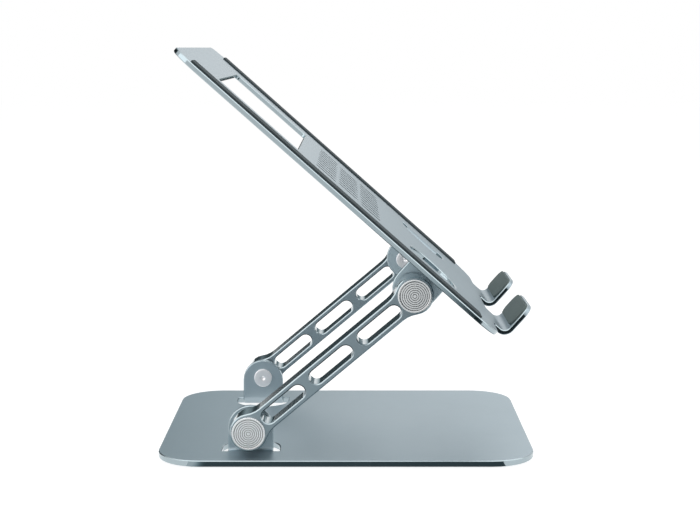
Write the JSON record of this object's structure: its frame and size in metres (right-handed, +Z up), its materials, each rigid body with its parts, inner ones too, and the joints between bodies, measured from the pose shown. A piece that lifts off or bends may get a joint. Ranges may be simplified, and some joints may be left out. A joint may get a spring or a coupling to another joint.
{
  "type": "laptop stand",
  "caption": "Folding laptop stand with a flat base plate, slotted arms on friction hinges, and a sloped tray with a window, cooling slots and padded front hooks.",
  "frame": {"origin": "on the table, under the middle of the base plate", "axes": "+X towards the user, where the hooks are; +Z up; Y along the hinge pins"},
  "size_m": [0.24, 0.25, 0.2597],
  "materials": {
    "anodised_aluminium": "satin, fine bead-blasted and anodised blue-grey, bright chamfers",
    "bright_metal": "turned, bright",
    "spring_steel": "plain, satin",
    "nylon": "matte",
    "silicone": "matte, soft"
  },
  "bodies": {
    "base": {"base_plate": "anodised_aluminium", "back_left_foot": "silicone", "back_right_foot": "silicone", "front_left_foot": "silicone", "front_right_foot": "silicone", "lower_left_hinge_pin": "bright_metal", "lower_left_friction_washer": "nylon", "lower_left_disc_spring": "spring_steel", "lower_left_lock_nut": "spring_steel", "lower_right_hinge_pin": "bright_metal", "lower_right_friction_washer": "nylon", "lower_right_disc_spring": "spring_steel", "lower_right_lock_nut": "spring_steel"},
    "arms": {"left_arm": "anodised_aluminium", "right_arm": "anodised_aluminium", "lower_left_hinge_cap": "bright_metal", "lower_right_hinge_cap": "bright_metal", "upper_left_hinge_cap": "bright_metal", "upper_right_hinge_cap": "bright_metal"},
    "upper_pins": {"upper_left_hinge_pin": "bright_metal", "upper_left_friction_washer": "nylon", "upper_left_disc_spring": "spring_steel", "upper_left_lock_nut": "spring_steel", "upper_right_hinge_pin": "bright_metal", "upper_right_friction_washer": "nylon", "upper_right_disc_spring": "spring_steel", "upper_right_lock_nut": "spring_steel"},
    "tray": {"tray_plate": "anodised_aluminium", "left_tray_strip": "silicone", "right_tray_strip": "silicone", "left_hook_pad": "silicone", "right_hook_pad": "silicone"}
  },
  "joints": [
    {"name": "arm_lift", "type": "hinge", "parent": "base", "child": "arms", "pos_m": [-0.0608, 0, 0.0212], "axis": [0, -1, 0], "range_deg": [-36.1, 44.9]},
    {"name": "pin_level", "type": "hinge", "parent": "arms", "child": "upper_pins", "pos_m": [0.04246, 0, 0.10816], "axis": [0, -1, 0], "range_deg": [-44.9, 36.1]},
    {"name": "tray_tilt", "type": "hinge", "parent": "upper_pins", "child": "tray", "pos_m": [0.04246, 0, 0.10816], "axis": [0, -1, 0], "range_deg": [-1.4, 41.6]}
  ],
  "couplings": [
    {"joint": "pin_level", "follows": "arm_lift", "ratio": -1}
  ]
}
